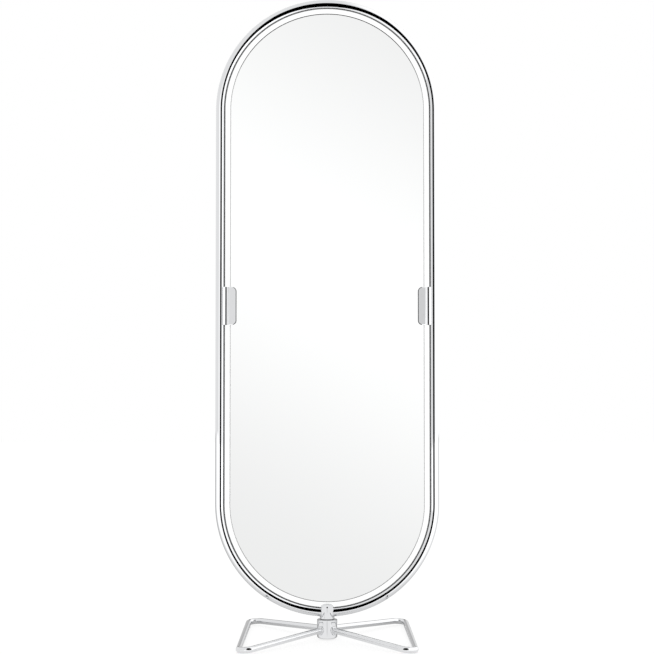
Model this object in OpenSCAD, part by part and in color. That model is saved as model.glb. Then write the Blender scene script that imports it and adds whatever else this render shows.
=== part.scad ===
/* [Hoop] */
// Outer width of the hoop
hoop_w = 600; // [560:5:700]
// Outer height of the hoop
hoop_h = 1660; // [1400:10:1800]
// Outer diameter of the hoop's tube
tube_d = 24; // [22:0.5:26]
// Wall thickness of the hoop's tube
tube_wall = 2; // [1.5:0.25:3]
// Gap between the two ends of the bent tube, inside the post head
tube_end_gap = 1; // [0.5:0.25:2]
// Angle of the hoop's lower arc that the joining dowel fills
dowel_angle = 14; // [10:1:20]

/* [Mirror panel] */
// Thickness of each glass
glass_t = 4; // [3:0.5:6]
// Thickness of the board between the two glasses
core_t = 6; // [4:0.5:9]
// How far the board stops short of the edge of the glass
core_inset = 1; // [0.5:0.25:3]
// Width of the bevel round the face of each glass
bevel_w = 13; // [10:1:20]
// Thickness that the bevel takes off the edge of the glass
bevel_t = 1.5; // [0.5:0.25:2]
// Thickness of the gasket between the panel and the tube
gasket_t = 1.9; // [1.5:0.1:3]

/* [Clips] */
// Height of each clip
clip_h = 102; // [90:1:130]
// Reach of each clip over the glass, from the edge of the panel
clip_reach = 30.5; // [28:0.5:36]
// Thickness of the clip's flat plate
clip_t = 2.4; // [2:0.1:3]
// Radius of the clip's two inner corners
clip_corner_r = 12; // [4:1:16]
// Reach of the clip's lip over the tube, from the tube's inner side
clip_lip = 4; // [3:0.25:5]
// Thickness of the lip over the tube
clip_lip_t = 2.2; // [1.5:0.1:3]
// Radius of the groove pressed between the plate and the lip
groove_r = 2.5; // [2:0.1:3]
// Distance from the edge of the panel inwards to the middle of the groove
groove_inset = 2.1; // [1.5:0.1:3]
// Metal left behind the groove
groove_web = 0.8; // [0.5:0.1:1.2]
// Thickness of the soft pad between a clip and its glass
clip_pad_t = 0.6; // [0.4:0.1:1]
// Width of the soft pad
clip_pad_w = 10; // [8:0.5:11]
// Height of the block that carries two clips
block_h = 80; // [70:1:86]
// Width of the block from the tube's inner side
block_w = 20; // [19:0.5:22]
// Distance between the two screws of a clip
clip_screw_pitch = 56; // [40:1:60]

/* [Post head] */
// Diameter of the head that holds the hoop
head_d = 39; // [37:0.5:44]
// Radius of the rounding round the head's top
head_top_r = 10; // [8:0.5:14]
// Height of the head above the panel's lower edge
head_cover = 7.5; // [5:0.5:9]
// Metal between the head's underside and the tube
head_floor = 5.05; // [4.5:0.05:8]
// Thickness of the nylon pads in the head's slot
slot_pad_t = 0.6; // [0.5:0.1:1]
// Width of the nylon pads in the head's slot
slot_pad_w = 12; // [8:1:14]

/* [Swivel] */
// Diameter of the spindle
spindle_d = 18; // [16:0.5:20]
// Depth of the spindle's seat in the head
spindle_seat = 2.5; // [2:0.25:3]
// Wall of the two nylon bushes
bush_wall = 3; // [2:0.25:3.5]
// Length of each bush in the hub's bore
bush_l = 14; // [10:0.5:16]
// Flange thickness of the lower bush
bush_flange_t = 1.5; // [1:0.25:2]
// Flange diameter of the lower bush
bush_flange_d = 32; // [30:0.5:35]
// Thickness of the thrust washer between hub and head
thrust_t = 1.4; // [1:0.1:2]
// Diameter of the thrust washer
thrust_d = 36; // [30:0.5:37]
// Thickness of the steel washer that keeps the spindle in the hub
keeper_t = 2; // [1.5:0.25:3]
// Diameter of the steel washer that keeps the spindle in the hub
keeper_d = 30; // [26:0.5:34]

/* [Hub] */
// Diameter of the hub
hub_d = 54; // [52:0.5:60]
// Height of the hub's body, without its shoulder
hub_h = 49; // [47:0.5:56]
// Gap between the hub and the floor
hub_foot_gap = 4; // [3:0.25:6]
// Diameter of the shoulder on top of the hub
shoulder_d = 39; // [37:0.5:44]
// Height of the shoulder on top of the hub
shoulder_h = 0.5; // [0.25:0.25:2]
// Radius of the rounding round the hub's foot
hub_foot_r = 5; // [3:0.5:6]
// Radius of the rounding round the hub's upper edge
hub_top_r = 1.5; // [1:0.5:4]
// Diameter of the hollow under the bushes
hollow_d = 38; // [37:0.5:40]
// Height of the hollow under the bushes
hollow_h = 11; // [10.5:0.25:13]
// Thickness of the cap that closes the hollow
cap_t = 1.5; // [1:0.25:1.5]

/* [Base rods] */
// Outer width of the base
base_w = 460; // [420:5:520]
// Diameter of the base rods
rod_d = 16; // [14:0.5:17]
// Radius of the rods' bends along the middle of the rod
rod_bend_r = 20; // [16:1:30]
// Diameter that bending takes off the rod in its bends
bend_thinning = 0.04; // [0.02:0.01:0.1]
// Angle between a leg and the middle line of its loop
leg_angle = 49; // [45:1:52]
// Height above the floor of the point where the legs aim
leg_aim_h = 28; // [26:0.5:32]
// Least metal between neighbouring rod ends, and to the hub's bore
rod_end_wall = 2; // [1:0.25:2.5]
// Thickness of the glides between rod and floor
glide_t = 2; // [1.5:0.25:4]
// Length of each glide along the rod
glide_l = 26; // [16:1:34]
// Width of each glide across the rod
glide_w = 11; // [9:0.5:13]
// Height to which a glide clasps the rod's sides
glide_clasp = 1.2; // [0.5:0.1:2]
// Distance from a glide's middle to the start of the bend
glide_inset = 20; // [18:1:40]

/* [Fasteners] */
// Diameter of the bolt through the spindle
bolt_d = 8; // [6:0.5:8.5]
// Width across the corners of the bolt's hexagon head
bolt_head_d = 15; // [12:0.5:16]
// Height of the bolt's hexagon head
bolt_head_h = 5; // [4:0.25:5]
// Diameter of the grub screws in the head
grub_d = 4; // [3:0.25:5]
// Width across the corners of the socket in each grub screw
grub_socket_d = 2.3; // [1.8:0.1:2.6]
// Height of the grub screws above the top of the tube
grub_rise = 2.5; // [0.5:0.25:4]
// Diameter of the clip screws
screw_d = 4; // [3:0.25:4.5]
// Length of the clip screws under the head
screw_l = 14; // [10:0.5:15]
// Diameter of the clip screws' button heads
screw_head_d = 7.6; // [6.5:0.1:8]
// Height of the clip screws' button heads
screw_head_h = 2.2; // [1.8:0.1:2.6]
// Width across the corners of the socket in each clip screw
screw_socket_d = 2.9; // [2.2:0.1:3.2]

/* [Clearances] */
// Radial running clearance between the spindle and its bushes
run_clear = 0.05; // [0.02:0.01:0.1]
// Clearance above the thrust washer
thrust_clear = 0.05; // [0.02:0.01:0.1]
// Clearance between the lower bush and the keeper washer
keeper_clear = 0.2; // [0.1:0.05:0.3]
// Radial clearance of pieces that slide into their seats
seat_clear = 0.05; // [0.02:0.01:0.1]
// Radial clearance of a screw or bolt in its hole
bolt_clear = 0.2; // [0.1:0.05:0.3]
// Clearance between the gasket and the tube
gasket_clear = 0.1; // [0.05:0.05:0.3]
// Clearance between the panel's notch and the clip block
notch_clear = 1; // [0.5:0.25:2]

/* [Hidden] */
$fn = 96;

chrome = [0.80, 0.81, 0.83];
steel = [0.62, 0.63, 0.65];
black_steel = [0.06, 0.06, 0.06];
silvering = [0.90, 0.93, 0.94];
black_rubber = [0.06, 0.06, 0.06];
nylon = [0.90, 0.89, 0.85];
dark_nylon = [0.12, 0.12, 0.12];
clear_plastic = [0.85, 0.88, 0.90];
board = [0.72, 0.60, 0.45];

// Amount by which a cutting shape stands out of what it cuts
past = 1;

// Levels of the stack on the swivel's axis, from the floor up
hub_z = hub_foot_gap;
hollow_top_z = hub_z + hollow_h;
hub_top_z = hub_z + hub_h;
shoulder_top_z = hub_top_z + shoulder_h;
thrust_top_z = shoulder_top_z + thrust_t;
head_z = thrust_top_z + thrust_clear;
hoop_z = head_z + head_floor;
spindle_z = hollow_top_z - bush_flange_t - keeper_clear;
spindle_top_z = head_z + spindle_seat;
keeper_z = spindle_z - keeper_t;
bush_d = spindle_d + 2 * run_clear + 2 * bush_wall;

// Hoop: radius of its middle line and the heights of its two arc centres
tube_r = tube_d / 2;
tube_bore_r = tube_r - tube_wall;
hoop_r = hoop_w / 2 - tube_r;
low_centre_z = hoop_z + hoop_w / 2;
high_centre_z = hoop_z + hoop_h - hoop_w / 2;
mid_z = hoop_z + hoop_h / 2;
tube_middle_z = hoop_z + tube_r;
tube_top_z = hoop_z + tube_d;
bolt_top_z = tube_middle_z + tube_bore_r - past;

// Panel: radius of its edge, its half thickness at the face and at the edge
panel_r = hoop_w / 2 - tube_d - gasket_clear - gasket_t;
panel_half_t = glass_t + core_t / 2;
edge_half_t = panel_half_t - bevel_t;
panel_z = low_centre_z - panel_r;

// Post head: its top, and the slot for the panel
head_r = head_d / 2;
head_top_z = panel_z + head_cover;
slot_glass_half_t = edge_half_t + bevel_t * min(1, head_cover / bevel_w);
slot_half_t = slot_glass_half_t + slot_pad_t + seat_clear;
slot_z = hoop_z + tube_r + sqrt(pow(tube_r, 2) - pow(slot_half_t, 2));
head_cut_angle = 2 * atan(head_d / hoop_r);
grub_z = tube_top_z + grub_rise;
head_round_centre_z = head_top_z - head_top_r;
grub_r = head_r - head_top_r + sqrt(pow(head_top_r, 2) - pow(max(0, grub_z - head_round_centre_z), 2));
grub_flush_r = grub_r - grub_d / 3;

// Clips: distances from the hoop's middle plane and from the front face
clip_back_y = panel_half_t + clip_pad_t;
clip_face_y = clip_back_y + clip_t;
clip_inner_x = panel_r - clip_reach;
clip_outer_x = hoop_r - tube_r + clip_lip;
groove_x = panel_r - groove_inset;
groove_y = clip_back_y + groove_web + groove_r;
block_x = hoop_r - tube_r - block_w;
notch_x = block_x - notch_clear;
notch_h = block_h + 2 * notch_clear;
screw_x = (block_x + groove_x - groove_r) / 2;
screw_tip_y = clip_face_y - screw_l;

// Base rods: a flat loop, tilted about its end bar so that its legs rise to the hub
rod_r = rod_d / 2;
rod_z = glide_t + rod_r;
bar_x = base_w / 2 - rod_r;
loop_l = sqrt(pow(bar_x, 2) + pow(leg_aim_h - rod_z, 2));
loop_tilt = atan((leg_aim_h - rod_z) / bar_x);
corner_y = loop_l * tan(leg_angle);
bend_angle = 90 + leg_angle;
bend_tangent = rod_bend_r * tan(bend_angle / 2);
bend_root_angle = acos(1 - bend_thinning / (4 * rod_bend_r));
bar_half_l = corner_y - bend_tangent;
leg_full_l = loop_l / cos(leg_angle);
rod_end_r = max(
    bush_d / 2 + rod_end_wall,
    (rod_r + rod_end_wall / 2) / sin(min(leg_angle, 90 - leg_angle))
);
leg_l = leg_full_l - bend_tangent - rod_end_r;
glide_y = bar_half_l - glide_inset;

// Both end arcs and the straight middle of a solid panel, from its half outline [radius, depth]
module panel_solid(outline) {
    for (end = [[high_centre_z, 0], [low_centre_z, 1]])
        translate([0, 0, end[0]])
            mirror([0, 0, end[1]])
                rotate([90, 0, 0])
                    rotate_extrude(angle = 180)
                        polygon(outline);
    translate([0, 0, low_centre_z])
        linear_extrude(height = high_centre_z - low_centre_z)
            for (side = [0, 1])
                mirror([side, 0])
                    mirror([0, 1])
                        polygon(outline);
}

// The same course round the hoop for a ring, whose flat cross-section is the child
module hoop_ring(radius) {
    for (end = [[high_centre_z, 0], [low_centre_z, 1]])
        translate([0, 0, end[0]])
            mirror([0, 0, end[1]])
                rotate([90, 0, 0])
                    rotate_extrude(angle = 180)
                        translate([radius, 0])
                            children();
    translate([0, 0, low_centre_z])
        linear_extrude(height = high_centre_z - low_centre_z)
            for (side = [0, 1])
                mirror([side, 0])
                    translate([radius, 0])
                        children();
}

// An arc of solid bar on the hoop's middle line, centred on its lowest point
module low_arc_bar(bar_r, angle) {
    translate([0, 0, low_centre_z])
        rotate([90, 90 + angle / 2, 0])
            rotate_extrude(angle = angle)
                translate([hoop_r, 0])
                    circle(r = bar_r);
}

// An upright cylinder on the swivel's axis
module axis_cylinder(diameter, low_z, high_z) {
    translate([0, 0, low_z])
        cylinder(d = diameter, h = high_z - low_z);
}

// An upright tube on the swivel's axis
module axis_sleeve(outer_d, inner_d, low_z, high_z) {
    difference() {
        axis_cylinder(outer_d, low_z, high_z);
        axis_cylinder(inner_d, low_z - past, high_z + past);
    }
}

// A turned body with rounded lower and upper edges, standing on z = 0
module turned_body(diameter, height, low_r, high_r) {
    rotate_extrude()
        difference() {
            square([diameter / 2, height]);
            if (low_r > 0)
                corner_cut(diameter / 2, low_r);
            if (high_r > 0)
                translate([0, height])
                    mirror([0, 1])
                        corner_cut(diameter / 2, high_r);
        }
}

// What a rounding takes off the lower corner of an outline that reaches out to side_x
module corner_cut(side_x, corner_r) {
    difference() {
        translate([side_x - corner_r, -past])
            square([corner_r + past, corner_r + past]);
        translate([side_x - corner_r, corner_r])
            circle(r = corner_r);
    }
}

// The loop's own frame: x from the end bar to the aim point, y along the end bar, z square to both
module on_loop_plane() {
    translate([-bar_x, 0, rod_z])
        rotate([0, -loop_tilt, 0])
            children();
}

// The two sockets of one loop, along the legs' middle lines from a distance before the aim point outwards
module leg_sockets() {
    on_loop_plane()
        translate([loop_l, 0, 0])
            for (side = [0, 1])
                mirror([0, side, 0])
                    rotate([0, 0, 180 - leg_angle])
                        translate([rod_end_r, 0, 0])
                            rotate([0, 90, 0])
                                cylinder(d = rod_d + 2 * seat_clear, h = hub_d);
}

// The whole bent rod of the left loop
module base_loop() {
    on_loop_plane()
        for (side = [0, 1])
            mirror([0, side, 0])
                half_loop();
}

// Half of the loop: half the end bar, the bend and one leg
module half_loop() {
    rotate([-90, 0, 0])
        cylinder(d = rod_d, h = bar_half_l);
    translate([rod_bend_r, bar_half_l, 0]) {
        rotate([0, 0, 180 - bend_angle - bend_root_angle])
            rotate_extrude(angle = bend_angle + 2 * bend_root_angle)
                translate([rod_bend_r, 0])
                    circle(d = rod_d - bend_thinning);
        rotate([0, 0, 180 - bend_angle])
            translate([rod_bend_r, 0, 0])
                rotate([90, 0, 0])
                    cylinder(d = rod_d, h = leg_l - seat_clear);
    }
}

module hub() {
    color(chrome)
        difference() {
            union() {
                translate([0, 0, hub_z])
                    turned_body(hub_d, hub_h, hub_foot_r, hub_top_r);
                axis_cylinder(shoulder_d, hub_top_z - hub_top_r, shoulder_top_z);
            }
            axis_cylinder(bush_d, hub_z - past, shoulder_top_z + past);
            axis_cylinder(hollow_d, hub_z - past, hollow_top_z);
            for (side = [0, 1])
                mirror([side, 0, 0])
                    leg_sockets();
        }
}

module left_base_rod() {
    color(chrome)
        base_loop();
}

module right_base_rod() {
    color(chrome)
        mirror([1, 0, 0])
            base_loop();
}

module floor_glides() {
    color(clear_plastic)
        for (x_side = [-1, 1], y_side = [-1, 1])
            translate([x_side * bar_x, y_side * glide_y, 0])
                difference() {
                    translate([-glide_w / 2, -glide_l / 2, 0])
                        cube([glide_w, glide_l, glide_t + glide_clasp]);
                    translate([0, 0, rod_z])
                        rotate([90, 0, 0])
                            cylinder(d = rod_d, h = glide_l + 2 * past, center = true);
                }
}

module hub_bottom_cap() {
    color(dark_nylon)
        axis_cylinder(hollow_d - 2 * seat_clear, hub_z, hub_z + cap_t);
}

module upper_bush() {
    color(nylon)
        axis_sleeve(bush_d, spindle_d + 2 * run_clear, shoulder_top_z - bush_l, shoulder_top_z);
}

module lower_bush() {
    color(nylon)
        difference() {
            union() {
                axis_cylinder(bush_d, hollow_top_z - bush_flange_t, hollow_top_z + bush_l);
                axis_cylinder(bush_flange_d, hollow_top_z - bush_flange_t, hollow_top_z);
            }
            axis_cylinder(spindle_d + 2 * run_clear, hub_z, hub_top_z);
        }
}

module thrust_washer() {
    color(dark_nylon)
        axis_sleeve(thrust_d, spindle_d + 2 * bolt_clear, shoulder_top_z, thrust_top_z);
}

module post_head() {
    color(chrome)
        difference() {
            translate([0, 0, head_z])
                turned_body(head_d, head_top_z - head_z, 0, head_top_r);
            low_arc_bar(tube_r + seat_clear, head_cut_angle);
            translate([-head_d / 2 - past, -slot_half_t, slot_z])
                cube([head_d + 2 * past, 2 * slot_half_t, head_top_z - slot_z + past]);
            axis_cylinder(spindle_d + 2 * seat_clear, head_z - past, spindle_top_z);
            axis_cylinder(bolt_d + 2 * bolt_clear, head_z - past, tube_middle_z);
            translate([0, 0, grub_z])
                rotate([90, 0, 0])
                    cylinder(d = grub_d + 2 * seat_clear, h = head_d + 2 * past, center = true);
        }
}

module spindle() {
    color(steel)
        axis_sleeve(spindle_d, bolt_d + 2 * bolt_clear, spindle_z, spindle_top_z);
}

module spindle_bolt() {
    color(steel) {
        axis_cylinder(bolt_d, keeper_z, bolt_top_z);
        translate([0, 0, keeper_z - bolt_head_h])
            cylinder(d = bolt_head_d, h = bolt_head_h, $fn = 6);
    }
}

module keeper_washer() {
    color(steel)
        axis_sleeve(keeper_d, bolt_d + 2 * bolt_clear, keeper_z, spindle_z);
}

module head_grub_screws() {
    color(black_steel)
        for (side = [0, 1])
            mirror([0, side, 0])
                translate([0, -slot_half_t, grub_z])
                    rotate([90, 0, 0])
                        difference() {
                            cylinder(d = grub_d, h = grub_flush_r - slot_half_t);
                            translate([0, 0, (grub_flush_r - slot_half_t) / 2])
                                cylinder(d = grub_socket_d, h = head_r, $fn = 6);
                        }
}

module head_slot_pads() {
    color(nylon)
        for (side = [0, 1])
            mirror([0, side, 0])
                translate([-slot_pad_w / 2, slot_glass_half_t + seat_clear, slot_z + slot_pad_t])
                    cube([slot_pad_w, slot_pad_t, head_top_z - slot_z - 2 * slot_pad_t]);
}

module hoop() {
    color(chrome)
        difference() {
            hoop_ring(hoop_r)
                difference() {
                    circle(r = tube_r);
                    circle(r = tube_bore_r);
                }
            translate([-tube_end_gap / 2, -tube_d, hoop_z - past])
                cube([tube_end_gap, 2 * tube_d, tube_d + 2 * past]);
            axis_cylinder(bolt_d + 2 * bolt_clear, head_z, tube_middle_z);
        }
}

module hoop_dowel() {
    color(steel)
        difference() {
            low_arc_bar(tube_bore_r - seat_clear, dowel_angle);
            axis_cylinder(bolt_d + 2 * seat_clear, hoop_z, tube_top_z);
        }
}

// One silvered glass, with its bevelled face towards +depth
module glass() {
    difference() {
        panel_solid([
            [0, core_t / 2],
            [panel_r, core_t / 2],
            [panel_r, edge_half_t],
            [panel_r - bevel_w, panel_half_t],
            [0, panel_half_t]
        ]);
        panel_notches();
    }
}

// The two notches in which the clip blocks stand
module panel_notches() {
    for (side = [0, 1])
        mirror([side, 0, 0])
            translate([notch_x, -hoop_w / 2, mid_z - notch_h / 2])
                cube([hoop_w, hoop_w, notch_h]);
}

module front_glass() {
    color(silvering)
        glass();
}

module back_glass() {
    color(silvering)
        mirror([0, 1, 0])
            glass();
}

module core_board() {
    color(board)
        difference() {
            panel_solid([
                [0, -core_t / 2],
                [panel_r - core_inset, -core_t / 2],
                [panel_r - core_inset, core_t / 2],
                [0, core_t / 2]
            ]);
            panel_notches();
        }
}

module edge_gasket() {
    color(black_rubber)
        difference() {
            hoop_ring(panel_r)
                translate([0, -edge_half_t])
                    square([gasket_t, 2 * edge_half_t]);
            panel_notches();
            axis_cylinder(head_d + 2 * past, head_z, low_centre_z);
        }
}

// A shape made for the right side, put on the left or the right
module on_side(left) {
    mirror([left ? 1 : 0, 0, 0])
        children();
}

// The block on the right side, with the tapped holes of its two screws
module clip_block() {
    difference() {
        translate([0, 0, mid_z - block_h / 2])
            linear_extrude(height = block_h)
                difference() {
                    translate([block_x, -clip_back_y])
                        square([hoop_r - block_x, 2 * clip_back_y]);
                    translate([hoop_r, 0])
                        circle(r = tube_r);
                }
        at_clip_screws()
            translate([0, 0, screw_tip_y - past])
                cylinder(d = screw_d + 2 * seat_clear, h = screw_l);
    }
}

// The right side's two screw axes, pointing backwards from the middle plane
module at_clip_screws() {
    for (level = [-1, 1])
        translate([screw_x, 0, mid_z + level * clip_screw_pitch / 2])
            rotate([-90, 0, 0])
                children();
}

// Cross-section of the right back clip, seen from above
module clip_section() {
    difference() {
        union() {
            translate([clip_inner_x, clip_back_y])
                square([clip_outer_x - clip_inner_x, clip_t]);
            intersection() {
                translate([hoop_r, 0])
                    circle(r = tube_r + clip_lip_t);
                translate([groove_x, clip_back_y])
                    square([clip_outer_x - groove_x, tube_d]);
            }
        }
        translate([hoop_r, 0])
            circle(r = tube_r);
        translate([groove_x, groove_y])
            circle(r = groove_r);
    }
}

// Front outline of the right clip, with its two rounded inner corners
module clip_outline() {
    translate([clip_inner_x + clip_corner_r, -clip_h / 2])
        square([clip_outer_x - clip_inner_x, clip_h]);
    translate([clip_inner_x, clip_corner_r - clip_h / 2])
        square([clip_corner_r, clip_h - 2 * clip_corner_r]);
    for (level = [-1, 1])
        translate([clip_inner_x + clip_corner_r, level * (clip_h / 2 - clip_corner_r)])
            circle(r = clip_corner_r);
}

// The right back clip without its screw holes
module clip_plate() {
    intersection() {
        translate([0, 0, mid_z - clip_h / 2])
            linear_extrude(height = clip_h)
                clip_section();
        translate([0, 0, mid_z])
            rotate([90, 0, 0])
                linear_extrude(height = 2 * hoop_w, center = true)
                    clip_outline();
    }
}

module front_clip(left) {
    color(chrome)
        on_side(left)
            mirror([0, 1, 0])
                clip_plate();
}

module back_clip(left) {
    color(chrome)
        on_side(left)
            difference() {
                clip_plate();
                at_clip_screws()
                    cylinder(d = screw_d + 2 * bolt_clear, h = 2 * clip_face_y);
            }
}

module left_clip_block() {
    color(steel)
        on_side(true)
            clip_block();
}

module right_clip_block() {
    color(steel)
        on_side(false)
            clip_block();
}

module left_front_clip() {
    front_clip(true);
}

module right_front_clip() {
    front_clip(false);
}

module left_back_clip() {
    back_clip(true);
}

module right_back_clip() {
    back_clip(false);
}

// The two soft pads behind the clips of one face, on the +depth side
module clip_pads() {
    for (left = [false, true])
        on_side(left)
            translate([clip_inner_x + clip_pad_t, panel_half_t, mid_z - block_h / 2])
                cube([clip_pad_w, clip_pad_t, block_h]);
}

module front_clip_pads() {
    color(black_rubber)
        mirror([0, 1, 0])
            clip_pads();
}

module back_clip_pads() {
    color(black_rubber)
        clip_pads();
}

module clip_screws() {
    color(steel)
        for (left = [false, true])
            on_side(left)
                at_clip_screws()
                    button_screw();
}

// A button-headed screw whose head sits on the back clip
module button_screw() {
    difference() {
        union() {
            translate([0, 0, screw_tip_y])
                cylinder(d = screw_d, h = screw_l);
            translate([0, 0, clip_face_y])
                turned_body(screw_head_d, screw_head_h, 0, screw_head_h / 2);
        }
        translate([0, 0, clip_face_y + screw_head_h / 3])
            cylinder(d = screw_socket_d, h = screw_head_h, $fn = 6);
    }
}

hub();
left_base_rod();
right_base_rod();
floor_glides();
hub_bottom_cap();
upper_bush();
lower_bush();
thrust_washer();
post_head();
spindle();
spindle_bolt();
keeper_washer();
head_grub_screws();
head_slot_pads();
hoop();
hoop_dowel();
front_glass();
back_glass();
core_board();
edge_gasket();
left_clip_block();
right_clip_block();
left_front_clip();
right_front_clip();
left_back_clip();
right_back_clip();
front_clip_pads();
back_clip_pads();
clip_screws();
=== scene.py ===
"""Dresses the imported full-length mirror: smooth pieces, finishes, and a plain pale studio round it."""
import math

import bmesh
import bpy
from mathutils import Matrix, Vector


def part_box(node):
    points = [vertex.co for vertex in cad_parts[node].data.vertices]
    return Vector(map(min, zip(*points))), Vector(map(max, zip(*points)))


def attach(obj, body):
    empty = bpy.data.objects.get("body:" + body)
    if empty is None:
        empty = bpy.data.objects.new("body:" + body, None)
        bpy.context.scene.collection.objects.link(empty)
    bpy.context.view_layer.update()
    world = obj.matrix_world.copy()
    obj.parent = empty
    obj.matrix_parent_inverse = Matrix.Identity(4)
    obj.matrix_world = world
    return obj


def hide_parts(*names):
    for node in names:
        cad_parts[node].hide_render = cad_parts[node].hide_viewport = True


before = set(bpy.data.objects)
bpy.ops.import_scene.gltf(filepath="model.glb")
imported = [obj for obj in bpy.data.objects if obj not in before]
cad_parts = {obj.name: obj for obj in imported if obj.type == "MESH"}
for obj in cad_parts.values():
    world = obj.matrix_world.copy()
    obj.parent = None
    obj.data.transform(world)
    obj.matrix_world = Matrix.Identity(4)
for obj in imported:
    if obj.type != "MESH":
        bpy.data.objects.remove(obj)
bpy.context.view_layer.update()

bl_info = {
    "name": "Full-length Mirror",
    "version": (1, 0, 0),
    "blender": (4, 5, 0),
    "location": "View3D > Sidebar > Mirror",
    "description": "Builds the visible pieces, finishes and studio of a full-length mirror on a swivel base",
    "category": "Add Mesh",
}

BASE_BODY = "base"
MIRROR_BODY = "mirror"

# Places read from the frame
HOOP_LOW, HOOP_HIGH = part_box("hoop")
GLASS_LOW, GLASS_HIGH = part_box("front_glass")
GASKET_LOW, GASKET_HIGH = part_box("edge_gasket")
CLIP_LOW, CLIP_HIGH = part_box("right_front_clip")
BLOCK_LOW, BLOCK_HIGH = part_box("right_clip_block")
_, SCREWS_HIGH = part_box("clip_screws")
HEAD_LOW, HEAD_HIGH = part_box("post_head")
GRUBS_LOW, GRUBS_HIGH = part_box("head_grub_screws")
HUB_LOW, HUB_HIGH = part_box("hub")
CAP_LOW, CAP_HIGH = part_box("hub_bottom_cap")
_, UPPER_BUSH_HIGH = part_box("upper_bush")
WASHER_LOW, WASHER_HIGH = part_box("thrust_washer")
_, SPINDLE_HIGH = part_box("spindle")
_, GLIDES_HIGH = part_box("floor_glides")
ROD_LOW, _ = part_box("left_base_rod")

TUBE_R = (HOOP_HIGH.y - HOOP_LOW.y) / 2
HOOP_R = HOOP_HIGH.x - TUBE_R
HIGH_ARC_Z = HOOP_HIGH.z - HOOP_HIGH.x
LOW_ARC_Z = HOOP_LOW.z + HOOP_HIGH.x
MIDDLE_Z = (HIGH_ARC_Z + LOW_ARC_Z) / 2
PANEL_R = GLASS_HIGH.x
FACE_Y = GLASS_LOW.y
CORE_Y = GLASS_HIGH.y

# How far a cutter reaches past what it cuts, and the gap between a piece and the hole it sits in
PAST = 0.001
FIT = 0.00005

# Steps of a sweep round half a circle of the hoop
ARC_STEPS = 96

# Button-head screws of the back clips
SCREW_R = 0.002
SCREW_LENGTH = 0.014
SCREW_HOLE_R = 0.0022
SCREW_HEAD_R = 0.0038
SCREW_HEAD_HEIGHT = 0.0022
SCREW_HEAD_ROUNDING = 0.72 * SCREW_HEAD_HEIGHT
SCREW_SOCKET_R = 0.00145
SCREW_SOCKET_DEPTH = 0.0014

# Grub screws of the head
GRUB_R = 0.002
GRUB_SOCKET_R = 0.00115

# Narrow edges and rims that no user would change
HEAD_FOOT_BEVEL = 0.0008
LEVEL_RING = 0.0002
CAP_RIM = 0.003
CAP_STEP = 0.0008
CAP_STEP_DEPTH = 0.0005
WASHER_GAP = 0.0002
GLIDE_CORNER_R = 0.003

# Distances along a leg from the point that it aims at: where its socket in the hub starts, where the rod
# ends inside it, and where the socket's cutter ends, outside the hub
SOCKET_START = 0.014
ROD_END = 0.0141
SOCKET_CUTTER_END = 0.06

# They turn a piece into its twin on the other side
ACROSS = Matrix.Scale(-1, 4, (1, 0, 0))
FRONT_TO_BACK = Matrix.Scale(-1, 4, (0, 1, 0))


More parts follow.
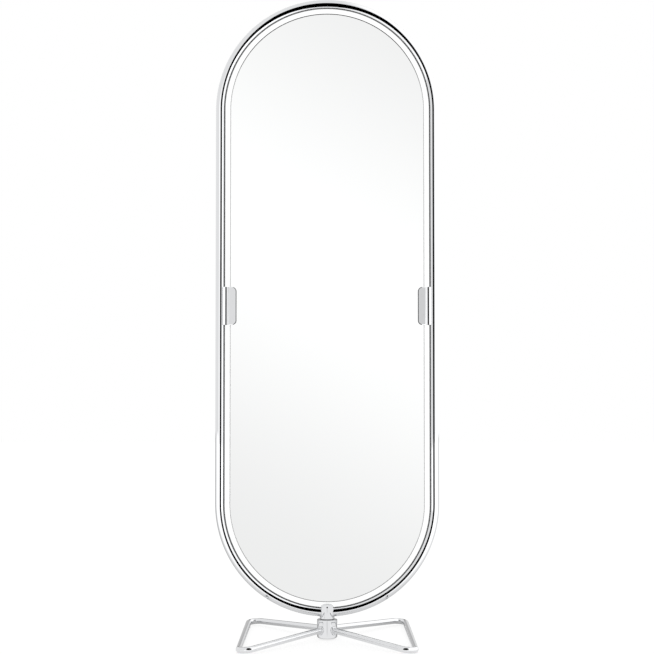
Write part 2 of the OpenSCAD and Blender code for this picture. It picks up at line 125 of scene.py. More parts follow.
class MirrorSizes(bpy.types.PropertyGroup):
    """Sizes that a user would change."""

    tube_wall: bpy.props.FloatProperty(
        name="Tube wall", description="Wall thickness of the hoop's tube", default=0.002, unit="LENGTH")
    tube_gap: bpy.props.FloatProperty(
        name="Tube gap", description="Gap between the tube's two ends, inside the head",
        default=0.001, unit="LENGTH")
    bevel_width: bpy.props.FloatProperty(
        name="Bevel width", description="Width of the bevel round each glass", default=0.013, unit="LENGTH")
    bevel_depth: bpy.props.FloatProperty(
        name="Bevel depth", description="Thickness that the bevel takes off the edge of the glass",
        default=0.0015, unit="LENGTH")
    arris_width: bpy.props.FloatProperty(
        name="Arris width", description="Width of the thin line where the bevel meets the face",
        default=0.0021, unit="LENGTH")
    clip_corner_radius: bpy.props.FloatProperty(
        name="Clip corner radius", description="Radius of a clip's two inner corners",
        default=0.012, unit="LENGTH")
    clip_thickness: bpy.props.FloatProperty(
        name="Clip thickness", description="Thickness of a clip's flat plate", default=0.0024, unit="LENGTH")
    clip_edge_width: bpy.props.FloatProperty(
        name="Clip edge width", description="Width of the softened edge round a clip's plate",
        default=0.0016, unit="LENGTH")
    clip_edge_drop: bpy.props.FloatProperty(
        name="Clip edge drop", description="How far the softened edge falls away from the plate's face",
        default=0.0004, unit="LENGTH")
    groove_radius: bpy.props.FloatProperty(
        name="Groove radius", description="Radius of the hollow groove between plate and lip",
        default=0.0062, unit="LENGTH")
    groove_inset: bpy.props.FloatProperty(
        name="Groove inset", description="Distance from the edge of the panel in to the middle of the groove",
        default=0.0049, unit="LENGTH")
    groove_web: bpy.props.FloatProperty(
        name="Groove web", description="Metal left behind the groove", default=0.0009, unit="LENGTH")
    slot_radius: bpy.props.FloatProperty(
        name="Slot radius", description="Radius of the narrow slot where hollow and lip meet",
        default=0.0020, unit="LENGTH")
    slot_inset: bpy.props.FloatProperty(
        name="Slot inset", description="Distance from the edge of the panel in to the middle of the slot",
        default=0.0027, unit="LENGTH")
    lip_lean: bpy.props.FloatProperty(
        name="Lip lean", description="How far the lip's face falls away towards its outer edge",
        default=0.0005, unit="LENGTH")
    lip_inset: bpy.props.FloatProperty(
        name="Lip inset", description="Distance from the edge of the panel in to where the lip starts",
        default=0.0009, unit="LENGTH")
    screw_inset: bpy.props.FloatProperty(
        name="Screw inset", description="Distance from the edge of the panel in to the clip screws",
        default=0.0113, unit="LENGTH")
    screw_pitch: bpy.props.FloatProperty(
        name="Screw pitch", description="Distance between the two screws of a clip",
        default=0.056, unit="LENGTH")
    head_rounding: bpy.props.FloatProperty(
        name="Head rounding", description="Radius of the rounding round the head's top",
        default=0.010, unit="LENGTH")
    slot_half_width: bpy.props.FloatProperty(
        name="Slot half width", description="Half the width of the head's slot",
        default=0.007015, unit="LENGTH")
    slot_floor: bpy.props.FloatProperty(
        name="Slot floor", description="Height of the slot's lower end above the floor",
        default=0.08174, unit="LENGTH")
    hub_shoulder: bpy.props.FloatProperty(
        name="Hub shoulder", description="Height of the shoulder on top of the hub",
        default=0.0005, unit="LENGTH")
    hub_foot_rounding: bpy.props.FloatProperty(
        name="Hub foot rounding", description="Radius of the rounding round the hub's foot",
        default=0.005, unit="LENGTH")
    hub_top_rounding: bpy.props.FloatProperty(
        name="Hub top rounding", description="Radius of the rounding round the hub's upper edge",
        default=0.0015, unit="LENGTH")
    hub_hollow: bpy.props.FloatProperty(
        name="Hub hollow", description="Height of the hollow under the hub", default=0.011, unit="LENGTH")
    rod_diameter: bpy.props.FloatProperty(
        name="Rod diameter", description="Diameter of the base rods", default=0.016, unit="LENGTH")
    rod_bend_radius: bpy.props.FloatProperty(
        name="Rod bend radius", description="Radius of the rods' bends along the middle of the rod",
        default=0.02, unit="LENGTH")
    leg_angle: bpy.props.FloatProperty(
        name="Leg angle", description="Angle between a leg and the middle line of its loop",
        default=math.radians(49), subtype="ANGLE")
    weld_radius: bpy.props.FloatProperty(
        name="Weld radius", description="Radius of the polished weld bead round each rod at the hub",
        default=0.004, unit="LENGTH")
    weld_sink: bpy.props.FloatProperty(
        name="Weld sink", description="How far the middle of the weld bead lies inside the rod",
        default=0.0015, unit="LENGTH")
    leg_aim_height: bpy.props.FloatProperty(
        name="Leg aim height", description="Height on the swivel's axis where the legs aim",
        default=0.028, unit="LENGTH")
    glide_thickness: bpy.props.FloatProperty(
        name="Glide thickness", description="Thickness of a glide under the rod",
        default=0.002, unit="LENGTH")
    glide_length: bpy.props.FloatProperty(
        name="Glide length", description="Length of a glide along the rod", default=0.026, unit="LENGTH")


class MirrorColours(bpy.types.PropertyGroup):
    """Colours that a user would change."""

    chrome: bpy.props.FloatVectorProperty(
        name="Chrome", description="Colour of the chrome plate", subtype="COLOR",
        default=(0.70, 0.705, 0.715))
    # The clip slot colour is painted shade: the slot's wall is near black where the narrow slot lies in
    # shade.
    clip_slot: bpy.props.FloatVectorProperty(
        name="Clip slot", description="Colour of the dull plating in the clips' slots", subtype="COLOR",
        default=(0.008, 0.008, 0.008))
    silver: bpy.props.FloatVectorProperty(
        name="Silvering", description="Colour of the silvered glass", subtype="COLOR",
        default=(0.93, 0.935, 0.933))
    glass_edge: bpy.props.FloatVectorProperty(
        name="Glass edge", description="Colour of the ground edge of the glass", subtype="COLOR",
        default=(0.32, 0.42, 0.39))
    # The two arris colours paint shade into the line: near black where it is shaded at the top, pale down the
    # sides.
    arris: bpy.props.FloatVectorProperty(
        name="Arris", description="Colour of the thin line round the face, at the top", subtype="COLOR",
        default=(0.03, 0.03, 0.03))
    side_arris: bpy.props.FloatVectorProperty(
        name="Side arris", description="Colour of that line down the sides", subtype="COLOR",
        default=(0.80, 0.80, 0.80))
    backing: bpy.props.FloatVectorProperty(
        name="Backing paint", description="Colour of the paint behind the silvering", subtype="COLOR",
        default=(0.18, 0.19, 0.20))
    steel: bpy.props.FloatVectorProperty(
        name="Steel", description="Colour of the zinc-plated and turned steel", subtype="COLOR",
        default=(0.55, 0.56, 0.57))
    black_steel: bpy.props.FloatVectorProperty(
        name="Black steel", description="Colour of the blackened grub screws", subtype="COLOR",
        default=(0.012, 0.012, 0.012))
    rubber: bpy.props.FloatVectorProperty(
        name="Rubber", description="Colour of the gasket and pads", subtype="COLOR",
        default=(0.34, 0.34, 0.343))
    nylon: bpy.props.FloatVectorProperty(
        name="Nylon", description="Colour of the natural nylon pieces", subtype="COLOR",
        default=(0.80, 0.78, 0.72))
    dark_nylon: bpy.props.FloatVectorProperty(
        name="Dark nylon", description="Colour of the black nylon pieces", subtype="COLOR",
        default=(0.025, 0.025, 0.027))
    clear_plastic: bpy.props.FloatVectorProperty(
        name="Clear plastic", description="Colour of the clear glides", subtype="COLOR",
        default=(0.93, 0.95, 0.96))
    board: bpy.props.FloatVectorProperty(
        name="Board", description="Colour of the fibreboard core", subtype="COLOR",
        default=(0.42, 0.29, 0.17))


def sizes():
    return bpy.context.scene.mirror_sizes


def colours():
    return bpy.context.scene.mirror_colours


# Modelling helpers

def deselect_all():
    if bpy.context.object and bpy.context.object.mode != "OBJECT":
        bpy.ops.object.mode_set(mode="OBJECT")
    bpy.ops.object.select_all(action="DESELECT")


def select_only(*pieces):
    """Selects the pieces and makes the first one active."""
    deselect_all()
    for piece in pieces:
        piece.select_set(True)
    bpy.context.view_layer.objects.active = pieces[0]


def edit_mesh():
    """Opens the active object's mesh for editing."""
    bpy.ops.object.mode_set(mode="EDIT")


def close_mesh():
    bpy.ops.object.mode_set(mode="OBJECT")


def pick(kind, test):
    """Selects only the vertices, edges or faces of the open mesh that pass the test."""
    bpy.ops.mesh.select_mode(type={"verts": "VERT", "edges": "EDGE", "faces": "FACE"}[kind])
    bpy.ops.mesh.select_all(action="DESELECT")
    bm = bmesh.from_edit_mesh(bpy.context.object.data)
    for item in getattr(bm, kind):
        item.select_set(test(item))
    bm.select_flush_mode()
    bmesh.update_edit_mesh(bpy.context.object.data)


def near(a, b, gap=1e-5):
    return abs(a - b) < gap


def edge_on(test):
    """A test for edges whose two ends both pass the test."""
    return lambda edge: all(test(vertex.co) for vertex in edge.verts)


def ring_edges_at(radius, z):
    """A test for edges that lie on a circle round the swivel's axis."""
    return edge_on(lambda p: near(p.z, z) and near(math.hypot(p.x, p.y), radius, 2e-5))


def runs_along(edge, axis):
    return abs(edge.verts[0].co[axis] - edge.verts[1].co[axis]) > 0.001


def round_face_at(level, axis=2):
    """A test for the round end of a cylinder, which has many corners, at a level along an axis."""
    return lambda face: len(face.verts) > 8 and near(face.calc_center_median()[axis], level)


def bevel_edges(test, width, segments):
    pick("edges", test)
    bpy.ops.mesh.bevel(offset=width, segments=segments, affect="EDGES")


def inset(thickness, depth=0.0):
    bpy.ops.mesh.inset(thickness=thickness, depth=depth, use_even_offset=True)


def extrude_by(way):
    bpy.ops.mesh.extrude_region_move(TRANSFORM_OT_translate={"value": way})


def placed(scale=(1, 1, 1)):
    """The primitive that was just added, with its place and scale put into its mesh."""
    piece = bpy.context.object
    piece.scale = scale
    bpy.ops.object.transform_apply(location=True, rotation=True, scale=True)
    return piece


def box_piece(low, high):
    """A box between two corners."""
    low, high = Vector(low), Vector(high)
    deselect_all()
    bpy.ops.mesh.primitive_cube_add(size=1, location=(low + high) / 2)
    return placed(high - low)


def cylinder_piece(radius, start, end, sides):
    """A cylinder between two points."""
    start, end = Vector(start), Vector(end)
    turn = (end - start).to_track_quat("Z", "Y")
    deselect_all()
    bpy.ops.mesh.primitive_cylinder_add(
        vertices=sides, radius=radius, depth=(end - start).length, location=(start + end) / 2,
        rotation=turn.to_euler())
    return placed()


def upright(radius, low, high, sides, x=0.0, y=0.0):
    """An upright cylinder, on the swivel's axis unless x and y say otherwise."""
    return cylinder_piece(radius, (x, y, low), (x, y, high), sides)


def add_modifier(piece, kind, **settings):
    modifier = piece.modifiers.new(kind.title(), kind)
    for name, value in settings.items():
        setattr(modifier, name, value)
    bpy.context.view_layer.objects.active = piece
    bpy.ops.object.modifier_apply(modifier=modifier.name)


def cut(piece, *cutters):
    """Cuts the cutters out of the piece and removes them."""
    for cutter in cutters:
        add_modifier(piece, "BOOLEAN", operation="DIFFERENCE", object=cutter, solver="EXACT")
        bpy.data.objects.remove(cutter)


def join_to(piece, other):
    """Makes the other one solid with the piece."""
    add_modifier(piece, "BOOLEAN", operation="UNION", object=other, solver="EXACT")
    bpy.data.objects.remove(other)


def merge_and_face_outwards(piece):
    """Merges doubled points and turns every face outwards."""
    select_only(piece)
    edit_mesh()
    bpy.ops.mesh.select_all(action="SELECT")
    bpy.ops.mesh.remove_doubles(threshold=1e-6)
    bpy.ops.mesh.normals_make_consistent(inside=False)
    close_mesh()


def smooth(piece, degrees=30):
    select_only(piece)
    bpy.ops.object.shade_smooth_by_angle(angle=math.radians(degrees))


def soften_edges(piece, width):
    add_modifier(piece, "BEVEL", width=width, segments=2, limit_method="ANGLE",
                 angle_limit=math.radians(40), use_clamp_overlap=True, harden_normals=False)


def copy_piece(piece, move=None):
    """A copy with its own mesh, moved by a matrix."""
    twin = piece.copy()
    twin.data = piece.data.copy()
    bpy.context.scene.collection.objects.link(twin)
    if move:
        move_mesh(twin, move)
    return twin


def move_mesh(piece, move):
    """Moves the mesh by a matrix and keeps its faces outwards where the matrix mirrors it."""
    piece.data.transform(move)
    if move.determinant() < 0:
        piece.data.flip_normals()


def joined(pieces):
    select_only(*pieces)
    bpy.ops.object.join()
    return bpy.context.object


def hand_over(piece, name, body, slot, nodes, *finishes):
    """Names the piece, gives it its finishes and puts it on its body in place of its nodes."""
    piece.name = name
    piece.data.name = name
    piece.data.materials.clear()
    for finish in finishes:
        piece.data.materials.append(material_named(finish))
    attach(piece, body)
    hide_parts(*nodes)
    return piece


# Shader helpers

def feed(tree, socket, value):
    """Links the value to the socket where it is a socket too, or else sets it. Colours have no alpha."""
    if isinstance(value, bpy.types.NodeSocket):
        tree.links.new(value, socket)
    else:
        socket.default_value = (*value, 1) if socket.type == "RGBA" else value


def add_node(tree, kind, *values, **named_values):
    """A new node, with values for its first inputs in order and for others by name."""
    node = tree.nodes.new(kind)
    for socket, value in zip(node.inputs, values):
        feed(tree, socket, value)
    for name, value in named_values.items():
        feed(tree, node.inputs[name.replace("_", " ")], value)
    return node


def math_node(tree, operation, *values, clamp=False):
    node = add_node(tree, "ShaderNodeMath", *values)
    node.operation = operation
    node.use_clamp = clamp
    return node.outputs[0]


def chain(tree, operation, result, *others):
    """The operation's result over all the values."""
    for value in others:
        result = math_node(tree, operation, result, value)
    return result


def map_range(tree, value, start, end, low, high, kind="LINEAR"):
    """Goes from low where the value is at start to high where it is at end."""
    node = add_node(tree, "ShaderNodeMapRange", value, start, end, low, high)
    node.interpolation_type = kind
    return node.outputs[0]


def fade(tree, value, start, end, low=0, high=1):
    """As map_range, but softly at both ends."""
    return map_range(tree, value, start, end, low, high, "SMOOTHSTEP")


def noise_node(tree, vector, scale, detail, roughness, stretch=(1, 1, 1)):
    mapping = add_node(tree, "ShaderNodeMapping", Vector=vector, Scale=stretch)
    noise = add_node(tree, "ShaderNodeTexNoise", Vector=mapping.outputs[0], Scale=scale, Detail=detail,
                     Roughness=roughness)
    return noise.outputs["Fac"]


def mixed_value(tree, factor, a, b):
    node = tree.nodes.new("ShaderNodeMix")
    for index, value in ((0, factor), (2, a), (3, b)):
        feed(tree, node.inputs[index], value)
    return node.outputs[0]


def mixed_colour(tree, factor, a, b, blend="MIX"):
    node = tree.nodes.new("ShaderNodeMix")
    node.data_type = "RGBA"
    node.blend_type = blend
    for index, value in ((0, factor), (6, a), (7, b)):
        feed(tree, node.inputs[index], value)
    return node.outputs[2]


def coordinates(tree, place):
    return add_node(tree, "ShaderNodeSeparateXYZ", Vector=place).outputs


def shader_group(name, defaults, results, build):
    """A shader node group that is made once. Sockets whose name ends in Color hold one, others a number."""
    found = bpy.data.node_groups.get(name)
    if found:
        return found
    group = bpy.data.node_groups.new(name, "ShaderNodeTree")
    group.interface.new_socket("Vector", in_out="INPUT", socket_type="NodeSocketVector")
    for way, names in (("INPUT", defaults), ("OUTPUT", results)):
        for socket_name in names:
            kind = "NodeSocketColor" if socket_name.endswith("Color") else "NodeSocketFloat"
            socket = group.interface.new_socket(socket_name, in_out=way, socket_type=kind)
            if way == "INPUT":
                socket.default_value = defaults[socket_name]
    given = group.nodes.new("NodeGroupInput").outputs
    end = group.nodes.new("NodeGroupOutput")
    for socket, value in zip(end.inputs, build(group, given)):
        group.links.new(value, socket)
    return group


def surface_marks(group, given):
    """Faint smears of handling and fine wiping lines, as a colour and a mask."""
    smears = noise_node(group, given["Vector"], given["Smear Scale"], 4, 0.6)
    wiping = noise_node(group, given["Vector"], given["Line Scale"], 2, 0.7, (1, 1, 0.06))
    smear_share = math_node(group, "MULTIPLY", fade(group, smears, 0.5, 0.75), 0.75)
    line_share = math_node(group, "MULTIPLY", map_range(group, wiping, 0.35, 0.7, 0, 1), 0.25)
    both = math_node(group, "ADD", smear_share, line_share, clamp=True)
    mask = math_node(group, "MULTIPLY", both, given["Amount"])
    return mixed_colour(group, mask, given["Color"], (0.80, 0.80, 0.81), "MULTIPLY"), mask


def marks_group():
    return shader_group(
        "handling_marks",
        {"Color": (0.7, 0.7, 0.7, 1), "Amount": 0.2, "Smear Scale": 18.0, "Line Scale": 900.0},
        ("Color", "Mask"), surface_marks)


def fine_grain(group, given):
    """A fine moulded or ground grain, as a colour and a height."""
    grain = noise_node(group, given["Vector"], given["Scale"], 5, 0.65)
    cloud = noise_node(group, given["Vector"], given["Cloud Scale"], 2, 0.5)
    light = map_range(group, math_node(group, "ADD", grain, cloud), 0.6, 1.4, 0, 1)
    share = math_node(group, "MULTIPLY", light, given["Amount"], clamp=True)
    return mixed_colour(group, share, given["Color"], given["Second Color"]), grain


def grain_group():
    return shader_group(
        "fine_grain",
        {"Color": (0.5, 0.5, 0.5, 1), "Second Color": (0.6, 0.6, 0.6, 1), "Amount": 0.5, "Scale": 1500.0,
         "Cloud Scale": 30.0},
        ("Color", "Height"), fine_grain)


def add_group(tree, group, place, **values):
    node = tree.nodes.new("ShaderNodeGroup")
    node.node_tree = group
    for name, value in {"Vector": place, **values}.items():
        feed(tree, node.inputs[name.replace("_", " ")], value)
    return node.outputs


def new_material(name):
    """A material with its tree, the inputs of its Principled shader and its object coordinates."""
    material = bpy.data.materials.new(name)
    material.use_nodes = True
    tree = material.node_tree
    place = add_node(tree, "ShaderNodeTexCoord").outputs["Object"]
    return material, tree, tree.nodes["Principled BSDF"].inputs, place


def shade(colour, factor):
    return tuple(min(1.0, channel * factor) for channel in colour)


# amount is the share of the handling marks, and haze the roughness where it is clean and where it is
# marked. Without haze the roughness is exactly 0, and the studio knows those finishes by that.
POLISHED = {
    "chrome_tube": dict(colour="chrome", amount=0.12, haze=(0.016, 0.026), smear_scale=18.0),
    "chrome_bright": dict(colour="chrome", amount=0.25, haze=(0.02, 0.06), smear_scale=45.0),
    "chrome_turned": dict(colour="chrome", amount=0.2, haze=None, smear_scale=45.0),
    "silvered_glass": dict(colour="silver", amount=0.012, haze=None, smear_scale=4.0, line_scale=60.0),
}

# lighter is how much lighter the grain's second colour is, and amount its share. What follows the scale
# is set on the shader.
GRAINED = {
    # The slot's entry paints shade: a near-black, dull wall where the clips' narrow slot lies in shade.
    "chrome_slot": dict(
        colour="clip_slot", lighter=2.5, amount=0.5, bump=0, scale=500.0, Roughness=0.5,
        Specular_IOR_Level=0.2),
    "glass_edge": dict(
        colour="glass_edge", lighter=1.3, amount=0.6, bump=0.2, scale=900.0, Roughness=0.3),
    "backing_paint": dict(
        colour="backing", lighter=1.2, amount=0.6, bump=0.2, scale=500.0, Roughness=0.55),
    "bright_steel": dict(
        colour="steel", lighter=1.2, amount=0.6, bump=0.12, scale=1200.0, Roughness=0.28, Metallic=1.0),
    "black_steel": dict(
        colour="black_steel", lighter=1.8, amount=0.6, bump=0.12, scale=1200.0, Roughness=0.4),
    "black_rubber": dict(
        colour="rubber", lighter=1.4, amount=0.5, bump=0.35, scale=1400.0, Roughness=0.6),
    "natural_nylon": dict(
        colour="nylon", lighter=0.9, amount=0.5, bump=0.15, scale=900.0, Roughness=0.42),
    "black_nylon": dict(
        colour="dark_nylon", lighter=1.8, amount=0.5, bump=0.25, scale=1100.0, Roughness=0.45),
    "fibreboard": dict(
        colour="board", lighter=1.5, amount=0.7, bump=0.6, scale=800.0, Roughness=0.85),
    "clear_plastic": dict(
        colour="clear_plastic", lighter=0.94, amount=0.5, bump=0.08, scale=400.0, Roughness=0.12,
        IOR=1.46, Transmission_Weight=0.9),
}
BUMP_DISTANCE = 0.0002


def polished_material(name, colour, amount, haze, smear_scale, line_scale=900.0):
    """Polished metal or silvered glass with faint handling marks."""
    material, tree, shader, place = new_material(name)
    marks = add_group(tree, marks_group(), place, Color=getattr(colours(), colour), Amount=amount,
                      Smear_Scale=smear_scale, Line_Scale=line_scale)
    feed(tree, shader["Base Color"], marks["Color"])
    feed(tree, shader["Metallic"], 1)
    feed(tree, shader["Roughness"], map_range(tree, marks["Mask"], 0, amount, *haze) if haze else 0)
    return material


def grained_material(name, colour, lighter, amount, bump, scale, **settings):
    """A material with a fine grain in its colour and, where it has a bump, in its surface."""
    material, tree, shader, place = new_material(name)
    colour = getattr(colours(), colour)
    grain = add_group(tree, grain_group(), place, Color=colour, Second_Color=shade(colour, lighter),
                      Amount=amount, Scale=scale)
    feed(tree, shader["Base Color"], grain["Color"])
    for setting, value in settings.items():
        feed(tree, shader[setting.replace("_", " ")], value)
    if bump:
        surface = add_node(tree, "ShaderNodeBump", Strength=bump, Distance=BUMP_DISTANCE,
                           Height=grain["Height"])
        feed(tree, shader["Normal"], surface.outputs["Normal"])
    return material


def glass_arris_material():
    """The ground line where bevel and face meet, with painted shade: darkest at the top, pale down the sides.
    """
    material, tree, shader, place = new_material("glass_arris")
    arris = colours().arris
    grain = add_group(tree, grain_group(), place, Color=arris, Second_Color=shade(arris, 1.4),
                      Amount=0.5, Scale=700.0)
    # Painted shade: the line's colour turns near black towards the top arc, and partly dark towards the
    # bottom arc.
    z = coordinates(tree, place)["Z"]
    top = fade(tree, z, HIGH_ARC_Z, HIGH_ARC_Z + 0.2)
    bottom = fade(tree, z, LOW_ARC_Z, LOW_ARC_Z - 0.2, 0, 0.4)
    painted_shade = math_node(tree, "MAXIMUM", top, bottom)
    feed(tree, shader["Base Color"], mixed_colour(tree, painted_shade, colours().side_arris, grain["Color"]))
    feed(tree, shader["Roughness"], 0.3)
    return material


def material_named(name):
    """The named finish, made on first use."""
    found = bpy.data.materials.get(name)
    if found:
        return found
    if name == "glass_arris":
        return glass_arris_material()
    if name in POLISHED:
        return polished_material(name, **POLISHED[name])
    return grained_material(name, **GRAINED[name])


# Sweeps and notches that hoop, panel and gasket share

def sweep_round_hoop(gap_angle):
    """Sweeps the open mesh's outline, which lies on the right at the upper arc's level, round the hoop.

    The sweep goes over the top, down the left side and to the lowest point, and from the outline down the
    right side to the lowest point, and leaves an open gap there.
    """
    high, low = (0, 0, HIGH_ARC_Z), (0, 0, LOW_ARC_Z)
    down = (0, 0, LOW_ARC_Z - HIGH_ARC_Z)
    quarter = math.pi / 2 - gap_angle / 2
    bpy.ops.mesh.select_mode(type="VERT")
    bpy.ops.mesh.select_all(action="SELECT")
    bpy.ops.mesh.spin(steps=ARC_STEPS, angle=math.pi, center=high, axis=(0, 1, 0))
    extrude_by(down)
    bpy.ops.mesh.spin(steps=ARC_STEPS // 2, angle=quarter, center=low, axis=(0, 1, 0))
    pick("verts", lambda v: v.co.x > 0 and near(v.co.z, HIGH_ARC_Z))
    extrude_by(down)
    bpy.ops.mesh.spin(steps=ARC_STEPS // 2, angle=-quarter, center=low, axis=(0, 1, 0))


def clip_notches():
    """Two boxes that make room for the clip blocks."""
    inner_x, outer_x = BLOCK_LOW.x - PAST, HOOP_HIGH.x
    return [box_piece((low_x, -outer_x, BLOCK_LOW.z - PAST), (high_x, outer_x, BLOCK_HIGH.z + PAST))
            for low_x, high_x in ((-outer_x, -inner_x), (inner_x, outer_x))]


class MIRROR_OT_hoop(bpy.types.Operator):
    """Builds the bent tube of the hoop."""

    bl_idname = "mirror.hoop"
    bl_label = "Hoop"

    def execute(self, context):
        deselect_all()
        bpy.ops.mesh.primitive_circle_add(vertices=64, radius=TUBE_R, location=(HOOP_R, 0, HIGH_ARC_Z))
        hoop = placed()
        edit_mesh()
        sweep_round_hoop(sizes().tube_gap / HOOP_R)
        close_mesh()
        merge_and_face_outwards(hoop)
        add_modifier(hoop, "SOLIDIFY", thickness=sizes().tube_wall, offset=-1, use_even_offset=True)
        smooth(hoop)
        hand_over(hoop, "hoop_tube", MIRROR_BODY, "chrome", ["hoop"], "chrome_tube")
        return {"FINISHED"}


class MIRROR_OT_glass(bpy.types.Operator):
    """Builds the two bevelled, silvered glasses."""

    bl_idname = "mirror.glass"
    bl_label = "Glasses"

    def execute(self, context):
        size = sizes()
        deselect_all()
        bpy.ops.mesh.primitive_circle_add(
            vertices=258, radius=PANEL_R, fill_type="NGON", location=(0, CORE_Y, LOW_ARC_Z),
            rotation=(math.pi / 2, 0, 0))
        front = placed()
        edit_mesh()
        pick("verts", lambda v: v.co.z > LOW_ARC_Z)
        bpy.ops.transform.translate(value=(0, 0, HIGH_ARC_Z - LOW_ARC_Z))
        pick("faces", lambda f: True)
        edge_depth = CORE_Y - FACE_Y - size.bevel_depth
        extrude_by((0, -edge_depth, 0))
        inset(size.bevel_width, size.bevel_depth)
        inset(size.arris_width)
        close_mesh()
        merge_and_face_outwards(front)
        self.give_faces(front)
        cut(front, *clip_notches())
        smooth(front, 4)
        back = copy_piece(front, FRONT_TO_BACK)
        smooth(back, 4)
        for piece, name in ((front, "front"), (back, "back")):
            indices = [face.material_index for face in piece.data.polygons]
            hand_over(piece, name + "_mirror_glass", MIRROR_BODY, "mirror", [name + "_glass"],
                      "silvered_glass", "glass_edge", "glass_arris", "backing_paint")
            for face, index in zip(piece.data.polygons, indices):
                face.material_index = index
        return {"FINISHED"}

    def give_faces(self, glass):
        """Marks which faces are silvered, edge, arris and backing."""
        silvered, edge, arris, backing = range(4)
        for _ in range(4):
            glass.data.materials.append(None)
        arris_half = sizes().arris_width / 2
        arris_r = PANEL_R - sizes().bevel_width - arris_half
        for face in glass.data.polygons:
            middle = face.center
            arc_z = min(max(middle.z, LOW_ARC_Z), HIGH_ARC_Z)
            radius = math.hypot(middle.x, middle.z - arc_z)
            if face.normal.y > 0.9:
                face.material_index = backing
            elif face.normal.y > -0.5:
                face.material_index = edge
            elif near(middle.y, FACE_Y) and near(radius, arris_r, arris_half):
                face.material_index = arris
            else:
                face.material_index = silvered


class MIRROR_OT_gasket(bpy.types.Operator):
    """Builds the gasket between the panel and the tube."""

    bl_idname = "mirror.gasket"
    bl_label = "Gasket"

    def execute(self, context):
        inner, outer = PANEL_R, GASKET_HIGH.x
        deselect_all()
        bpy.ops.mesh.primitive_plane_add(size=1, location=((inner + outer) / 2, 0, HIGH_ARC_Z))
        gasket = placed((outer - inner, GASKET_HIGH.y - GASKET_LOW.y, 1))
        edit_mesh()
        bpy.ops.mesh.select_all(action="SELECT")
        bpy.ops.mesh.delete(type="ONLY_FACE")
        sweep_round_hoop(2 * math.asin((HEAD_HIGH.x + PAST) / outer))
        for side in (-1, 1):
            pick("edges", lambda e, side=side: e.is_boundary and e.verts[0].co.x * side > 0)
            bpy.ops.mesh.edge_face_add()
        close_mesh()
        merge_and_face_outwards(gasket)
        cut(gasket, *clip_notches())
        soften_edges(gasket, 0.0004)
        smooth(gasket)
        hand_over(gasket, "rubber_gasket", MIRROR_BODY, "rubber", ["edge_gasket"], "black_rubber")
        return {"FINISHED"}


def screw_places():
    """x and z of the lower and the upper screw of the right back clip."""
    screw_x = PANEL_R - sizes().screw_inset
    return [(screw_x, MIDDLE_Z + level * sizes().screw_pitch / 2) for level in (-1, 1)]


